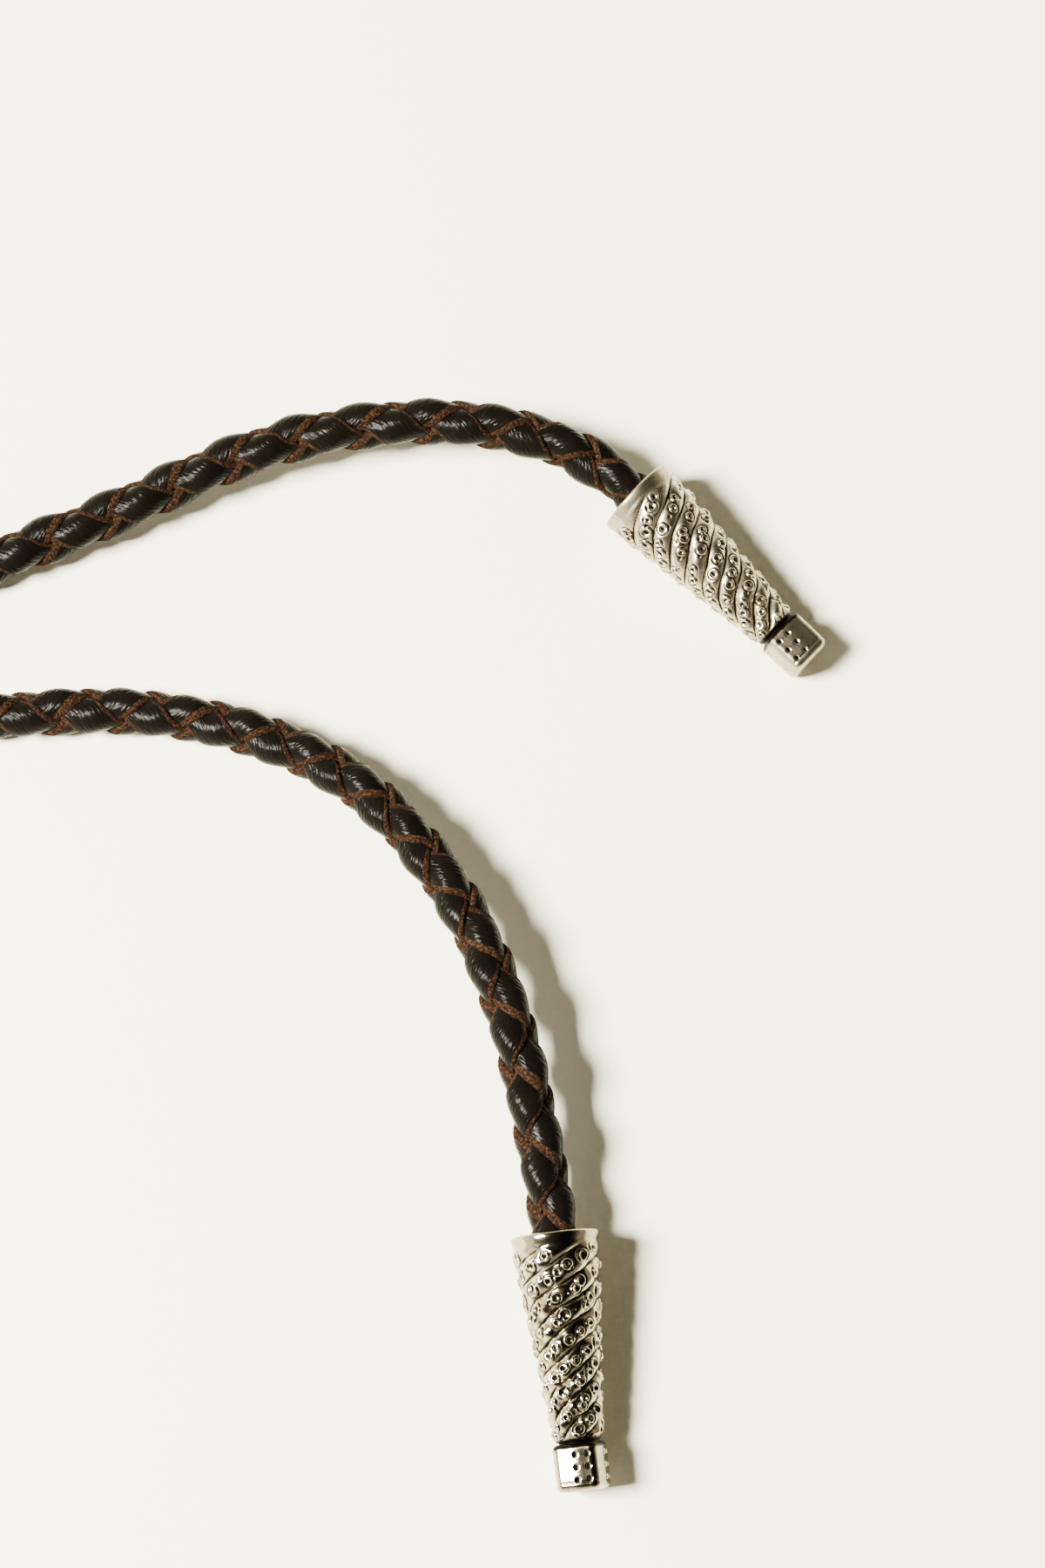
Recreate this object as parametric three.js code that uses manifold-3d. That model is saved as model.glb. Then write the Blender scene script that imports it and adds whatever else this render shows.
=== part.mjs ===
// A bolo tie laid flat: one round leather cord with a cast tip on each end, drawn through a slide.
//
// Millimetres, +Z up. The origin is the middle of the slide's flat back, on the surface that the
// tie lies on. The two tails run towards +X and the neck loop towards -X.
import * as THREE from 'three';
import { RoundedBoxGeometry } from 'three/addons/geometries/RoundedBoxGeometry.js';
import { mergeVertices } from 'three/addons/utils/BufferGeometryUtils.js';
import Module from 'manifold-3d';

const wasm = await Module();
wasm.setup();

// How far the cord and the tips stay above the surface, so that no facet dips into it.
const FLOOR_GAP = 0.05;

// The cord.
const CORD_RADIUS = 3;
const CORD_SIDES = 10;
const CORD_STEPS = 78;

// The cord's centreline: upper tail, slide, neck loop, slide, lower tail. [x, y, z]
const CORD_ROUTE = [
  [155.1, 28.6, 4.5], // in the upper tip's socket
  [147.2, 36.2, 5.3], // at the upper tip's rim
  [144, 38.9, 5.7],
  [139.7, 41.6, 6.3],
  [132.5, 44, 7.1],
  [121, 45.4, 7],
  [102, 42.9, 5.6],
  [77, 32.4, 3.6],
  [42, 18.6, 3.2],
  [21, 10.3, 4.4],
  [11.4, 7.6, 4.7], // through the slide
  [-13.7, 0.9, 4.7],
  [-26, -1, 4.2],
  [-49, 5, 3.2],
  [-71, 22.5, 3],
  [-98, 42, 3],
  [-133, 46, 3],
  [-164, 36, 3],
  [-180.5, 9, 3],
  [-183, -28, 3],
  [-175.5, -63, 3],
  [-150, -85.5, 3],
  [-112, -88.8, 3],
  [-76, -77.5, 3],
  [-47.5, -42, 3.2],
  [-26, -14, 4.2],
  [-11.4, -7.6, 4.7], // back through the slide
  [13.7, -0.9, 4.7],
  [22, 1, 4.4],
  [43, 5.2, 3.2],
  [68, 8, 3],
  [85, 8.4, 3.3],
  [100, 5.2, 4.3],
  [113.7, -2.5, 5.8],
  [124.9, -16.1, 7],
  [131.5, -31, 7.3],
  [134.6, -44.2, 6.7],
  [136.1, -51.6, 5.8],
  [136.8, -56.9, 5.3], // at the lower tip's rim
  [138.1, -67.9, 4.5], // in the lower tip's socket
];

// A tip. Heights run along its axis from the rim, where the cord goes in, to the cap's end.
const TIP_LENGTH = 30.5;
const TIP_RIM_RADIUS = 5.3;
const TIP_RIM_WIDTH = 1.3;
const TIP_RIM_EDGE = 0.35;
const TIP_SHOULDER_RADIUS = 4.8;
const TIP_NECK_RADIUS = 2.35;
const TIP_NECK_HEIGHT = 24.6;
const TIP_SOCKET_RADIUS = 3.4;
const TIP_SOCKET_DEPTH = 12;
const TIP_RIBS = 5;
const TIP_RIB_RAISE = 0.25;
const TIP_RIB_LEAD = 13.5;
const TIP_SIDES = 40;
const TIP_RINGS = 26;
const CAP_WIDTH = 5.9;
const CAP_LENGTH = 5.6;
const CAP_ROUNDING = 1;

// Where each tip's rim stands, which way it points and how far it has rolled. Degrees.
const TIP_PLACES = [
  { name: 'tip_upper', x: 147.2, y: 36.2, heading: -44, roll: -1 },
  { name: 'tip_lower', x: 136.8, y: -56.9, heading: -83.3, roll: 18 },
];

// The slide: a domed oval on a flat-backed block with two channels.
const SLIDE_HEADING = 15;
const OVAL_LENGTH = 42;
const OVAL_WIDTH = 31;
const OVAL_UNDERSIDE = 8.4;
const OVAL_EDGE = 1.5;
const BORDER_WIDTH = 2.2;
const BORDER_STEP = 0.4;
const DOME_RISE = 3.4;
const DOME_RINGS = 7;
const OVAL_SIDES = 48;
const BLOCK_LENGTH = 20;
const BLOCK_WIDTH = 18.4;
const BLOCK_ROUNDING = 1.5;
const CHANNEL_RADIUS = 3.6;
const CHANNEL_HEIGHT = 4.7;
const CHANNEL_SPACING = 8.8;
const SOLDER_OVERLAP = 0.5;

const leather = new THREE.MeshStandardMaterial({ color: 0x241a15, roughness: 0.5, metalness: 0 });
const castMetal = new THREE.MeshStandardMaterial({ color: 0xb7b1a4, roughness: 0.3, metalness: 1 });
const slideMetal = new THREE.MeshStandardMaterial({ color: 0xb7b1a4, roughness: 0.25, metalness: 1 });

// A closed geometry as a solid that can be joined to another.
function solidFrom(geometry) {
  const bare = geometry.clone();
  bare.deleteAttribute('normal');
  bare.deleteAttribute('uv');
  const merged = mergeVertices(bare, 1e-4);
  const vertProperties = new Float32Array(merged.attributes.position.array);
  const triVerts = new Uint32Array(merged.index.array);
  return new wasm.Manifold(new wasm.Mesh({ numProp: 3, vertProperties, triVerts }));
}

// Two closed geometries joined into one.
function join(first, second) {
  const mesh = solidFrom(first).add(solidFrom(second)).getMesh();
  const geometry = new THREE.BufferGeometry();
  geometry.setAttribute('position', new THREE.BufferAttribute(mesh.vertProperties, 3));
  geometry.setIndex(new THREE.BufferAttribute(mesh.triVerts, 1));
  geometry.computeVertexNormals();
  return geometry;
}

// The cord: one round tube along its whole route.
function buildCord() {
  const corners = [];
  for (let i = 0; i < CORD_SIDES; i += 1) {
    const angle = (2 * Math.PI * i) / CORD_SIDES;
    corners.push(new THREE.Vector2(CORD_RADIUS * Math.cos(angle), CORD_RADIUS * Math.sin(angle)));
  }
  const route = new THREE.CatmullRomCurve3(CORD_ROUTE.map((point) => new THREE.Vector3(...point)));
  const options = { steps: CORD_STEPS, extrudePath: route, bevelEnabled: false };
  const cord = new THREE.Mesh(new THREE.ExtrudeGeometry(new THREE.Shape(corners), options), leather);
  cord.name = 'braided_cord';
  cord.position.z = FLOOR_GAP;
  return cord;
}

// The cone's outline from the socket's floor, out over the rim and down to the neck. [radius, height]
function coneProfile() {
  const profile = [
    [0, TIP_SOCKET_DEPTH],
    [TIP_SOCKET_RADIUS, TIP_SOCKET_DEPTH],
    [TIP_SOCKET_RADIUS, 0],
    [TIP_RIM_RADIUS - TIP_RIM_EDGE, 0],
    [TIP_RIM_RADIUS, TIP_RIM_EDGE],
    [TIP_RIM_RADIUS, TIP_RIM_WIDTH - TIP_RIM_EDGE],
  ];
  for (let i = 0; i <= TIP_RINGS; i += 1) {
    const share = i / TIP_RINGS;
    const radius = THREE.MathUtils.lerp(TIP_SHOULDER_RADIUS, TIP_NECK_RADIUS, share);
    profile.push([radius, THREE.MathUtils.lerp(TIP_RIM_WIDTH, TIP_NECK_HEIGHT, share)]);
  }
  profile.push([TIP_NECK_RADIUS, TIP_LENGTH - CAP_LENGTH / 2]);
  profile.push([0, TIP_LENGTH - CAP_LENGTH / 2]);
  return profile.map(([radius, height]) => new THREE.Vector2(radius, height));
}

// Turns the cone's straight ribs round its axis, a whole turn for each lead, and raises them.
function twistRibs(geometry) {
  const place = geometry.attributes.position;
  for (let i = 0; i < place.count; i += 1) {
    const height = place.getY(i);
    const radius = Math.hypot(place.getX(i), place.getZ(i));
    const isSocket = height <= TIP_SOCKET_DEPTH && radius <= TIP_SOCKET_RADIUS + 1e-3;
    if (height > TIP_RIM_WIDTH && !isSocket) {
      const angle = Math.atan2(place.getX(i), place.getZ(i));
      const twisted = angle + (2 * Math.PI * Math.min(height, TIP_NECK_HEIGHT)) / TIP_RIB_LEAD;
      const isRibbed = height < TIP_NECK_HEIGHT - 1e-3;
      const raised = isRibbed ? radius + TIP_RIB_RAISE * Math.cos(TIP_RIBS * angle) : radius;
      place.setX(i, raised * Math.sin(twisted));
      place.setZ(i, raised * Math.cos(twisted));
    }
  }
}

// A tip: the ribbed cone and its squared cap in one casting. Its rim is at the origin, its axis +Y.
function tipGeometry() {
  const cone = new THREE.LatheGeometry(coneProfile(), TIP_SIDES);
  twistRibs(cone);
  const cap = new RoundedBoxGeometry(CAP_WIDTH, CAP_LENGTH, CAP_WIDTH, 2, CAP_ROUNDING);
  cap.translate(0, TIP_LENGTH - CAP_LENGTH / 2, 0);
  return join(cone, cap);
}

// How far the cap reaches below its axis once the tip has rolled either way by under 90 degrees.
function capReach(roll) {
  const core = CAP_WIDTH / 2 - CAP_ROUNDING;
  return core * (Math.cos(roll) + Math.abs(Math.sin(roll))) + CAP_ROUNDING;
}

// A tip laid down: it rests on its rim and on its cap, so its axis falls a little towards the cap.
function buildTip(geometry, { name, x, y, heading, roll }) {
  const tip = new THREE.Mesh(geometry, castMetal);
  tip.name = name;
  const turn = THREE.MathUtils.degToRad(heading);
  const rolled = THREE.MathUtils.degToRad(roll);
  const pitch = Math.atan((TIP_RIM_RADIUS - capReach(rolled)) / TIP_LENGTH);
  const level = Math.cos(pitch);
  const axis = new THREE.Vector3(level * Math.cos(turn), level * Math.sin(turn), -Math.sin(pitch));
  const up = new THREE.Vector3(0, 0, 1).projectOnPlane(axis).normalize();
  const side = new THREE.Vector3().crossVectors(axis, up);
  tip.quaternion.setFromRotationMatrix(new THREE.Matrix4().makeBasis(side, axis, up));
  tip.rotateY(rolled);
  const rimDrop = (TIP_RIM_WIDTH - TIP_RIM_EDGE) * Math.sin(pitch);
  tip.position.set(x, y, TIP_RIM_RADIUS * level + rimDrop + FLOOR_GAP);
  return tip;
}

// The oval: a flat underside, a plain border and a shallow dome inside it. [radius, height]
function ovalGeometry() {
  const radius = OVAL_LENGTH / 2;
  const domeRadius = radius - BORDER_WIDTH;
  const top = OVAL_UNDERSIDE + OVAL_EDGE;
  const profile = [
    new THREE.Vector2(0, OVAL_UNDERSIDE),
    new THREE.Vector2(radius - BORDER_STEP, OVAL_UNDERSIDE),
    new THREE.Vector2(radius, OVAL_UNDERSIDE + BORDER_STEP),
    new THREE.Vector2(radius, top - BORDER_STEP),
    new THREE.Vector2(radius - BORDER_STEP, top),
    new THREE.Vector2(domeRadius + BORDER_STEP, top),
  ];
  for (let i = 0; i <= DOME_RINGS; i += 1) {
    const turn = (Math.PI / 2) * (i / DOME_RINGS);
    const height = top - BORDER_STEP + (DOME_RISE + BORDER_STEP) * Math.sin(turn);
    profile.push(new THREE.Vector2(i === DOME_RINGS ? 0 : domeRadius * Math.cos(turn), height));
  }
  const oval = new THREE.LatheGeometry(profile, OVAL_SIDES);
  oval.rotateX(Math.PI / 2);
  oval.scale(1, OVAL_WIDTH / OVAL_LENGTH, 1);
  return oval;
}

// The block behind the oval: a rounded bar with two round channels, lying along X.
function blockGeometry() {
  const half = BLOCK_WIDTH / 2;
  const top = OVAL_UNDERSIDE + SOLDER_OVERLAP;
  const outline = new THREE.Shape();
  outline.moveTo(half, top);
  outline.lineTo(-half, top);
  outline.lineTo(-half, BLOCK_ROUNDING);
  outline.absarc(-half + BLOCK_ROUNDING, BLOCK_ROUNDING, BLOCK_ROUNDING, Math.PI, 1.5 * Math.PI);
  outline.absarc(half - BLOCK_ROUNDING, BLOCK_ROUNDING, BLOCK_ROUNDING, 1.5 * Math.PI, 2 * Math.PI);
  outline.closePath();
  for (const side of [-1, 1]) {
    const channel = new THREE.Path();
    channel.absarc((side * CHANNEL_SPACING) / 2, CHANNEL_HEIGHT, CHANNEL_RADIUS, 0, 2 * Math.PI, true);
    outline.holes.push(channel);
  }
  const options = { depth: BLOCK_LENGTH, bevelEnabled: false, curveSegments: 16 };
  const block = new THREE.ExtrudeGeometry(outline, options);
  block.translate(0, 0, -BLOCK_LENGTH / 2);
  const alongX = new THREE.Matrix4().makeBasis(
    new THREE.Vector3(0, 1, 0),
    new THREE.Vector3(0, 0, 1),
    new THREE.Vector3(1, 0, 0),
  );
  return block.applyMatrix4(alongX);
}

function buildSlide() {
  const slide = new THREE.Mesh(join(ovalGeometry(), blockGeometry()), slideMetal);
  slide.name = 'slide';
  slide.rotation.z = THREE.MathUtils.degToRad(SLIDE_HEADING);
  return slide;
}

const group = new THREE.Group();
const tipShape = tipGeometry();
group.add(buildCord());
for (const place of TIP_PLACES) {
  group.add(buildTip(tipShape, place));
}
group.add(buildSlide());

export default group;
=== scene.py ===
"""A bolo tie laid flat on a pale painted board: braided leather cord, two cast tips and a plain slide.

Every size is in metres unless its name ends in _mm, and every angle is in radians, except where a
comment says otherwise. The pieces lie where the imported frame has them: the origin is the middle of
the slide's flat back, and the tips lie towards +X.
"""

import logging
import math
from dataclasses import dataclass, field
from enum import Enum
from typing import Any, Sequence

import bpy
import numpy as np
from mathutils import Matrix, Vector


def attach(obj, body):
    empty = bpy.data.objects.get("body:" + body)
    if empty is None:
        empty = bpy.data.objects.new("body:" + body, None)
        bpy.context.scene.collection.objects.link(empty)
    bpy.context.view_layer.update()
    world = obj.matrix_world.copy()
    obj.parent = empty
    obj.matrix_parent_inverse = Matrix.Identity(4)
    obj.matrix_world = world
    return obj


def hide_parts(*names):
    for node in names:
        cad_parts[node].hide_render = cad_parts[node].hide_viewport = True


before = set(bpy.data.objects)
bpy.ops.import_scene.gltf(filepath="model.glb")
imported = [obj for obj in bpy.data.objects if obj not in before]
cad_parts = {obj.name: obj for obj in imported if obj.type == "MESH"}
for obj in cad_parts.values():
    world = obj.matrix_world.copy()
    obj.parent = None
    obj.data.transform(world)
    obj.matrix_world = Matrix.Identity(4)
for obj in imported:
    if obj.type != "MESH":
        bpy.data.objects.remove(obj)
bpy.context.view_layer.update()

MM = 0.001
BODY = "root"

log = logging.getLogger("bolo_tie")

# The cord's centreline: upper tail, slide, neck loop, slide, lower tail.
CORD_ROUTE = [
    (0.1551, 0.0286, 0.0045),
    (0.1472, 0.0362, 0.0053),
    (0.1440, 0.0389, 0.0057),
    (0.1397, 0.0416, 0.0063),
    (0.1325, 0.0440, 0.0071),
    (0.1210, 0.0454, 0.0070),
    (0.1020, 0.0429, 0.0056),
    (0.0770, 0.0324, 0.0036),
    (0.0420, 0.0186, 0.0032),
    (0.0210, 0.0103, 0.0044),
    (0.0114, 0.0076, 0.0047),
    (-0.0137, 0.0009, 0.0047),
    (-0.0260, -0.0010, 0.0042),
    (-0.0490, 0.0050, 0.0032),
    (-0.0710, 0.0225, 0.0030),
    (-0.0980, 0.0420, 0.0030),
    (-0.1330, 0.0460, 0.0030),
    (-0.1640, 0.0360, 0.0030),
    (-0.1805, 0.0090, 0.0030),
    (-0.1830, -0.0280, 0.0030),
    (-0.1755, -0.0630, 0.0030),
    (-0.1500, -0.0855, 0.0030),
    (-0.1120, -0.0888, 0.0030),
    (-0.0760, -0.0775, 0.0030),
    (-0.0475, -0.0420, 0.0032),
    (-0.0260, -0.0140, 0.0042),
    (-0.0114, -0.0076, 0.0047),
    (0.0137, -0.0009, 0.0047),
    (0.0220, 0.0010, 0.0044),
    (0.0430, 0.0052, 0.0032),
    (0.0680, 0.0080, 0.0030),
    (0.0850, 0.0084, 0.0033),
    (0.1000, 0.0052, 0.0043),
    (0.1137, -0.0025, 0.0058),
    (0.1249, -0.0161, 0.0070),
    (0.1315, -0.0310, 0.0073),
    (0.1346, -0.0442, 0.0067),
    (0.1361, -0.0516, 0.0058),
    (0.1368, -0.0569, 0.0053),
    (0.1381, -0.0679, 0.0045),
]


# ---------------------------------------------------------------- colours, nodes and meshes


def linear(hex_colour: str) -> tuple[float, float, float, float]:
    """Turns an sRGB hex colour into Blender's linear colour.

    Args:
        hex_colour: six hex digits, with or without a leading #.

    Returns:
        The linear red, green, blue and an alpha of 1.
    """
    digits = hex_colour.lstrip("#")
    channels = [int(digits[i : i + 2], 16) / 255 for i in (0, 2, 4)]
    curved = [c / 12.92 if c <= 0.04045 else ((c + 0.055) / 1.055) ** 2.4 for c in channels]
    return (curved[0], curved[1], curved[2], 1.0)


def add_node(
    tree: bpy.types.NodeTree,
    kind: str,
    settings: dict[str, Any] | None = None,
    inputs: dict[str | int, Any] | None = None,
    stops: Sequence[tuple[float, Any]] = (),
) -> bpy.types.Node:
    """Adds one shader node with its settings, values and links.

    Args:
        tree: the node tree.
        kind: the node's type name, less the ShaderNode that they all start with.
        settings: the node's own properties by name.
        inputs: a value, or another node's output socket, for each input by name or number.
        stops: a colour ramp's stops, each with its place and its linear colour or one grey number.

    Returns:
        The new node.
    """
    node = tree.nodes.new("ShaderNode" + kind)
    for name, value in (settings or {}).items():
        setattr(node, name, value)
    for key, value in (inputs or {}).items():
        if isinstance(value, bpy.types.NodeSocket):
            tree.links.new(value, node.inputs[key])
        else:
            node.inputs[key].default_value = value
    if stops:
        elements = node.color_ramp.elements
        while len(elements) < len(stops):
            elements.new(0.5)
        for element, (place, colour) in zip(elements, stops):
            element.position = place
            element.color = (colour, colour, colour, 1.0) if isinstance(colour, float) else colour
    return node


def new_material(name: str) -> tuple[bpy.types.Material, bpy.types.Node]:
    """Makes an empty node material.

    Args:
        name: the material's name.

    Returns:
        The material and its Principled BSDF.
    """
    material = bpy.data.materials.new(name)
    material.use_nodes = True
    return material, material.node_tree.nodes["Principled BSDF"]


def smoothstep(low: float, high: float, value: np.ndarray) -> np.ndarray:
    """The smooth rise from 0 at low to 1 at high, as 3t^2 - 2t^3 of the share t between them."""
    share = np.clip((value - low) / (high - low), 0.0, 1.0)
    return share * share * (3.0 - 2.0 * share)


def bell(distance: np.ndarray, width: float) -> np.ndarray:
    """The bell curve: 1 at no distance, falling as e to the minus (distance over width) squared."""
    return np.exp(-((distance / width) ** 2))


def ring_quads(rings: int, columns: int, closed: bool) -> np.ndarray:
    """Works out the faces between rings of points.

    Args:
        rings: how many rings there are.
        columns: how many points each ring has.
        closed: whether the last ring joins the first.

    Returns:
        The faces as four point numbers each, turning from the columns to the rings.
    """
    ring = np.arange(rings if closed else rings - 1)[:, None]
    column = np.arange(columns)[None, :]
    next_ring = (ring + 1) % rings
    next_column = (column + 1) % columns
    corners = [
        ring * columns + column,
        ring * columns + next_column,
        next_ring * columns + next_column,
        next_ring * columns + column,
    ]
    return np.stack(np.broadcast_arrays(*corners), axis=-1).reshape(-1, 4)


@dataclass
class Shell:
    """Points, faces and per-point values gathered from one or more closed surfaces."""

    points: list[np.ndarray] = field(default_factory=list)
    faces: list[list[int]] = field(default_factory=list)
    values: dict[str, list[np.ndarray]] = field(default_factory=dict)
    uvs: list[np.ndarray] = field(default_factory=list)
    count: int = 0

    def add(
        self,
        points: np.ndarray,
        faces: Sequence[np.ndarray],
        values: dict[str, np.ndarray] | None = None,
        uv: np.ndarray | None = None,
    ) -> None:
        """Adds one closed surface.

        Args:
            points: its points, one row each.
            faces: arrays of point numbers, each array with its own number of corners.
            values: one number for each point, by attribute name.
            uv: each point's place in the flat pattern.
        """
        for group in faces:
            self.faces.extend((group + self.count).tolist())
        self.points.append(points)
        for name, numbers in (values or {}).items():
            self.values.setdefault(name, []).append(numbers)
        if uv is not None:
            self.uvs.append(uv)
        self.count += len(points)

    def add_rings(
        self,
        points: np.ndarray,
        values: dict[str, np.ndarray],
        uv: np.ndarray | None = None,
        closed: bool = False,
        flipped: bool = False,
    ) -> None:
        """Adds a closed surface of rings, each joined to the next.

        Args:
            points: the points by ring, place in the ring and axis.
            values: one number for each point, by attribute name.
            uv: each point's place in the flat pattern.
            closed: whether the last ring joins the first. If not, each end gets one flat face.
            flipped: whether the faces turn the other way.
        """
        rings, columns = points.shape[:2]
        faces = [ring_quads(rings, columns, closed)]
        if not closed:
            ring = np.arange(columns)[None, :]
            faces += [ring[:, ::-1], ring + (rings - 1) * columns]
        if flipped:
            faces = [group[:, ::-1] for group in faces]
        spread = {name: np.broadcast_to(v, (rings, columns)).ravel() for name, v in values.items()}
        self.add(points.reshape(-1, 3), faces, spread, None if uv is None else uv.reshape(-1, 2))

    def build(self, name: str) -> bpy.types.Object:
        """Makes the mesh object, smooth shaded and at the origin.

        Args:
            name: the object's name.

        Returns:
            The new object.
        """
        mesh = bpy.data.meshes.new(name)
        mesh.from_pydata(np.concatenate(self.points).tolist(), [], self.faces)
        for attribute, parts in self.values.items():
            layer = mesh.attributes.new(attribute, "FLOAT", "POINT")
            layer.data.foreach_set("value", np.concatenate(parts).astype(np.float32))
        if self.uvs:
            corners = np.empty(len(mesh.loops), dtype=np.int32)
            mesh.loops.foreach_get("vertex_index", corners)
            layer = mesh.uv_layers.new(name="UVMap")
            layer.data.foreach_set("uv", np.concatenate(self.uvs)[corners].astype(np.float32).ravel())
        mesh.polygons.foreach_set("use_smooth", np.ones(len(mesh.polygons), dtype=bool))
        mesh.update()
        piece = bpy.data.objects.new(name, mesh)
        bpy.context.scene.collection.objects.link(piece)
        return piece


# ---------------------------------------------------------------- finishes


@dataclass(frozen=True)
class GrainLeather:
    """Cut lacing leather, dyed and waxed on its grain side and left raw where the knife went.

    The eye sees a near-black brown with a soft shine broken into short streaks along the lace, and
    matt red-brown fibre on the cut edges.
    """

    grain: str = "#070604"
    grain_worn: str = "#0C0907"
    raw: str = "#1E120C"
    raw_pale: str = "#3F2B1E"
    raw_dark: str = "#0A0504"
    streak_width_mm: float = 0.29
    streak_length_mm: float = 1.1
    # The streaks' height as a share of the relief's, which the cut edge's fibre has in full.
    streak_height: float = 0.72
    # Raw fibre is finer than this, and is drawn as coarse as it needs to be to show.
    fibre_mm: float = 0.3
    relief_mm: float = 0.16
    worn_patches_per_mm: float = 0.35
    # The roughness of the grain where a streak is low and where it is high, and of the cut edge.
    hollow_roughness: float = 0.27
    waxed_roughness: float = 0.16
    raw_roughness: float = 0.95
    # The wax is thin, so the grain mirrors far less than a lacquered one would.
    specular: float = 0.03
    # How far the fibre's pattern breaks up the line where the grain ends.
    fray: float = 0.7

    def material(self) -> bpy.types.Material:
        """Builds the leather. It reads the UV map, in millimetres along and across the lace."""
        material, shader = new_material("leather_lace_waxed_grain_cut_edge")
        tree = material.node_tree
        uv = add_node(tree, "UVMap", {"uv_map": "UVMap"})
        raw = add_node(tree, "Attribute", {"attribute_name": "raw"})
        stretch = (1 / self.streak_length_mm, 1 / self.streak_width_mm, 1.0)
        along = add_node(tree, "Mapping", inputs={"Vector": uv.outputs["UV"], "Scale": stretch})
        noises = [
            add_node(
                tree,
                "TexNoise",
                inputs={"Vector": vector, "Scale": scale, "Detail": detail, "Roughness": rough},
            )
            for vector, scale, detail, rough in (
                (along.outputs["Vector"], 1.0, 1.0, 0.5),
                (uv.outputs["UV"], 1 / self.fibre_mm, 4.0, 0.7),
                (uv.outputs["UV"], self.worn_patches_per_mm, 2.0, 0.5),
            )
        ]
        streaks, fibre, patches = (noise.outputs["Fac"] for noise in noises)
        dyed = add_node(
            tree,
            "ValToRGB",
            inputs={"Fac": patches},
            stops=[(0.35, linear(self.grain)), (0.75, linear(self.grain_worn))],
        )
        cut = add_node(
            tree,
            "ValToRGB",
            inputs={"Fac": fibre},
            stops=[
                (0.36, linear(self.raw_dark)),
                (0.5, linear(self.raw)),
                (0.66, linear(self.raw_pale)),
            ],
        )
        ragged = add_node(
            tree,
            "Math",
            {"operation": "MULTIPLY_ADD"},
            {0: fibre, 1: self.fray, 2: raw.outputs["Fac"]},
        )
        is_raw = add_node(
            tree, "ValToRGB", inputs={"Fac": ragged.outputs[0]}, stops=[(0.66, 0.0), (0.86, 1.0)]
        ).outputs["Color"]
        colour = add_node(
            tree,
            "Mix",
            {"data_type": "RGBA"},
            {"Factor": is_raw, 6: dyed.outputs["Color"], 7: cut.outputs["Color"]},
        )
        shine = add_node(
            tree,
            "ValToRGB",
            inputs={"Fac": streaks},
            stops=[(0.42, self.hollow_roughness), (0.6, self.waxed_roughness)],
        )
        roughness = add_node(
            tree,
            "Mix",
            {"data_type": "FLOAT"},
            {"Factor": is_raw, 2: shine.outputs["Color"], 3: self.raw_roughness},
        )
        faint = add_node(
            tree, "Math", {"operation": "MULTIPLY"}, {0: streaks, 1: self.streak_height}
        )
        relief = add_node(
            tree, "Mix", {"data_type": "FLOAT"}, {"Factor": is_raw, 2: faint.outputs[0], 3: fibre}
        )
        bump = add_node(
            tree,
            "Bump",
            inputs={"Strength": 1.0, "Distance": self.relief_mm * MM, "Height": relief.outputs[0]},
        )
        tree.links.new(colour.outputs[2], shader.inputs["Base Color"])
        tree.links.new(roughness.outputs[0], shader.inputs["Roughness"])
        tree.links.new(bump.outputs["Normal"], shader.inputs["Normal"])
        shader.inputs["Specular IOR Level"].default_value = self.specular
        return material


@dataclass(frozen=True)
class AntiquedSilver:
    """Cast silver-tone alloy, blackened all over and then buffed back on its high spots.

    The eye sees bright worn metal on every ridge and ring, and brown-black patina in the hollows.
    """

    name: str
    bright: str
    dull: str
    # The roughness of the rubbed metal, of the metal that kept its cast skin, and of the patina.
    polish: tuple[float, float, float]
    patina: str = "#0D0A07"
    # The casting's grit, and how much it breaks up the patina's edge.
    grit_mm: float = 0.35
    grit_share: float = 0.5
    # The patches that years of handling rub brighter, and how much they shift the patina.
    rubbed_mm: float = 4.0
    rubbed_share: float = 0.3
    relief_mm: float = 0.03

    def material(self) -> bpy.types.Material:
        """Builds the metal. It reads the patina attribute, 1 in the hollows, and Object places."""
        material, shader = new_material(self.name)
        tree = material.node_tree
        place = add_node(tree, "TexCoord").outputs["Object"]
        patina = add_node(tree, "Attribute", {"attribute_name": "patina"})
        cast, rubbed = (
            add_node(
                tree,
                "TexNoise",
                inputs={"Vector": place, "Scale": scale, "Detail": detail, "Roughness": rough},
            ).outputs["Fac"]
            for scale, detail, rough in (
                (1 / (self.grit_mm * MM), 4.0, 0.65),
                (1 / (self.rubbed_mm * MM), 3.0, 0.5),
            )
        )
        shade = patina.outputs["Fac"]
        for noise, share in ((cast, self.grit_share), (rubbed, self.rubbed_share)):
            shade = add_node(
                tree, "Math", {"operation": "MULTIPLY_ADD"}, {0: noise, 1: share, 2: shade}
            ).outputs[0]
        colour = add_node(
            tree,
            "ValToRGB",
            inputs={"Fac": shade},
            stops=[
                (0.38, linear(self.bright)),
                (0.66, linear(self.dull)),
                (0.9, linear(self.patina)),
            ],
        )
        roughness = add_node(
            tree,
            "ValToRGB",
            inputs={"Fac": shade},
            stops=list(zip((0.35, 0.65, 0.95), self.polish)),
        )
        bump = add_node(
            tree,
            "Bump",
            inputs={"Strength": 0.5, "Distance": self.relief_mm * MM, "Height": cast},
        )
        tree.links.new(colour.outputs["Color"], shader.inputs["Base Color"])
        tree.links.new(roughness.outputs["Color"], shader.inputs["Roughness"])
        tree.links.new(bump.outputs["Normal"], shader.inputs["Normal"])
        shader.inputs["Metallic"].default_value = 1.0
        return material


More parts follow.
